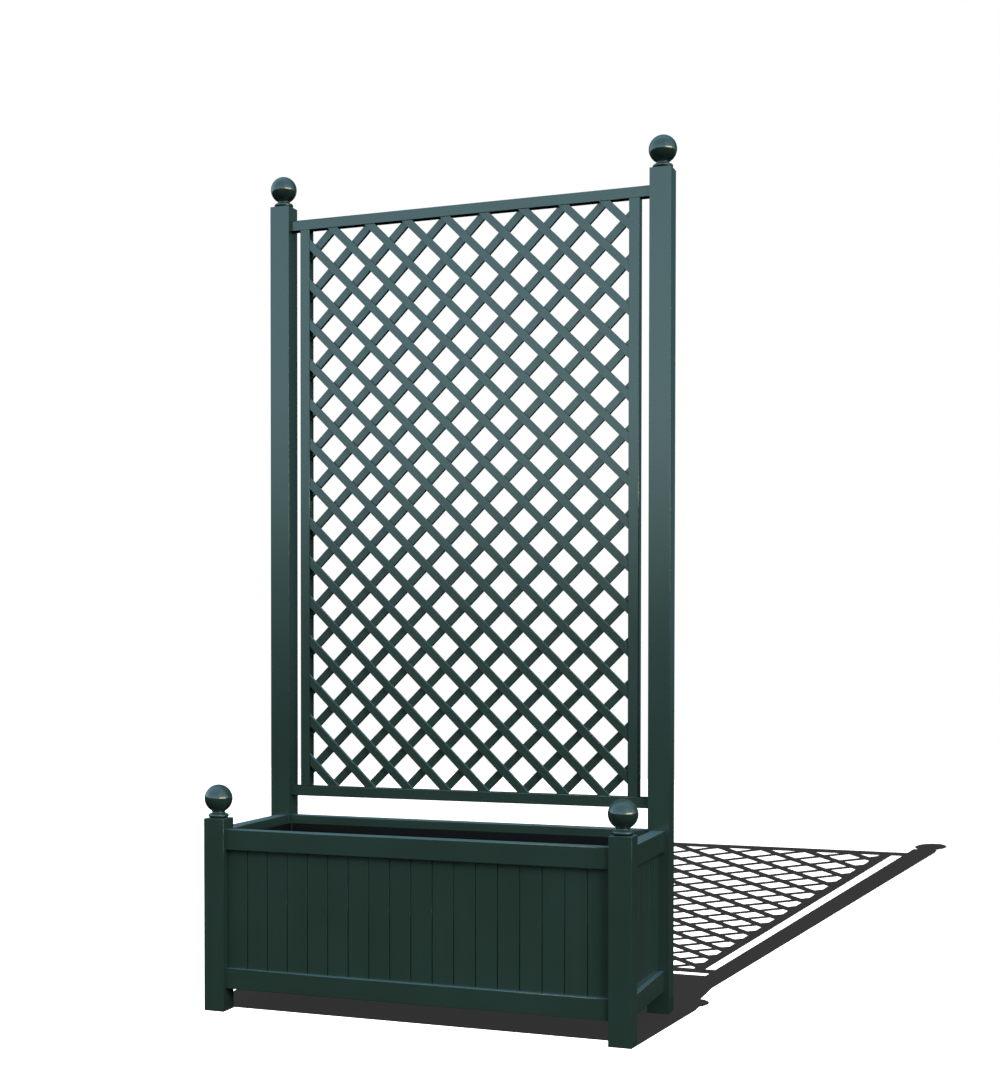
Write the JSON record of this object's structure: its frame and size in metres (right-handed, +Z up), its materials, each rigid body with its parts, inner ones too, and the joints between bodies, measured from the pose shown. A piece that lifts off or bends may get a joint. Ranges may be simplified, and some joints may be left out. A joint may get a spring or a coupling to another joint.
{
  "type": "trellis planter",
  "caption": "Boarded rectangular planter box on corner posts, with a tall diagonal lattice screen between the rear posts, ball finials and a lift-out liner.",
  "frame": {"origin": "on the ground, under the middle of the box", "axes": "+X to the right of someone who faces the front, +Y to the rear where the trellis stands, +Z up"},
  "size_m": [1.012, 0.412, 1.9931],
  "materials": {
    "post_paint": "hardwood with smooth dark green paint, satin",
    "rail_paint": "hardwood with smooth dark green paint, satin",
    "board_paint": "hardwood with smooth dark green paint, satin",
    "trellis_paint": "hardwood with smooth dark green paint, satin",
    "lath_paint": "hardwood with smooth dark green paint, satin",
    "finial_paint": "turned hardwood with smooth dark green paint, semi-gloss",
    "floor_paint": "hardwood with dark green paint, satin",
    "liner_plastic": "black polypropylene, matt"
  },
  "bodies": {
    "planter": {"board_front_01": "board_paint", "board_front_02": "board_paint", "board_front_03": "board_paint", "board_front_04": "board_paint", "board_front_05": "board_paint", "board_front_06": "board_paint", "board_front_07": "board_paint", "board_front_08": "board_paint", "board_front_09": "board_paint", "board_front_10": "board_paint", "board_front_11": "board_paint", "board_front_12": "board_paint", "board_front_13": "board_paint", "board_front_14": "board_paint", "board_front_15": "board_paint", "board_front_16": "board_paint", "board_front_17": "board_paint", "board_front_18": "board_paint", "board_left_01": "board_paint", "board_left_02": "board_paint", "board_left_03": "board_paint", "board_left_04": "board_paint", "board_left_05": "board_paint", "board_left_06": "board_paint", "board_right_01": "board_paint", "board_right_02": "board_paint", "board_right_03": "board_paint", "board_right_04": "board_paint", "board_right_05": "board_paint", "board_right_06": "board_paint", "bottom_rail_front": "rail_paint", "bottom_rail_left": "rail_paint", "bottom_rail_rear": "rail_paint", "bottom_rail_right": "rail_paint", "finial_front_left": "finial_paint", "finial_front_right": "finial_paint", "finial_rear_left": "finial_paint", "finial_rear_right": "finial_paint", "floor_slat_1": "floor_paint", "floor_slat_2": "floor_paint", "floor_slat_3": "floor_paint", "floor_slat_4": "floor_paint", "floor_slat_5": "floor_paint", "lattice": "lath_paint", "ledger_front": "floor_paint", "ledger_rear": "floor_paint", "post_front_left": "post_paint", "post_front_right": "post_paint", "post_rear_left": "post_paint", "post_rear_right": "post_paint", "rear_panel": "board_paint", "top_rail_front": "rail_paint", "top_rail_left": "rail_paint", "top_rail_rear": "rail_paint", "top_rail_right": "rail_paint", "trellis_rail_bottom": "trellis_paint", "trellis_rail_top": "trellis_paint", "trellis_stile_left": "trellis_paint", "trellis_stile_right": "trellis_paint"},
    "liner": {"liner": "liner_plastic"}
  },
  "joints": [
    {"name": "liner_lift", "type": "slide", "parent": "planter", "child": "liner", "axis": [0, 0, 1], "range_m": [0, 0.45]}
  ]
}
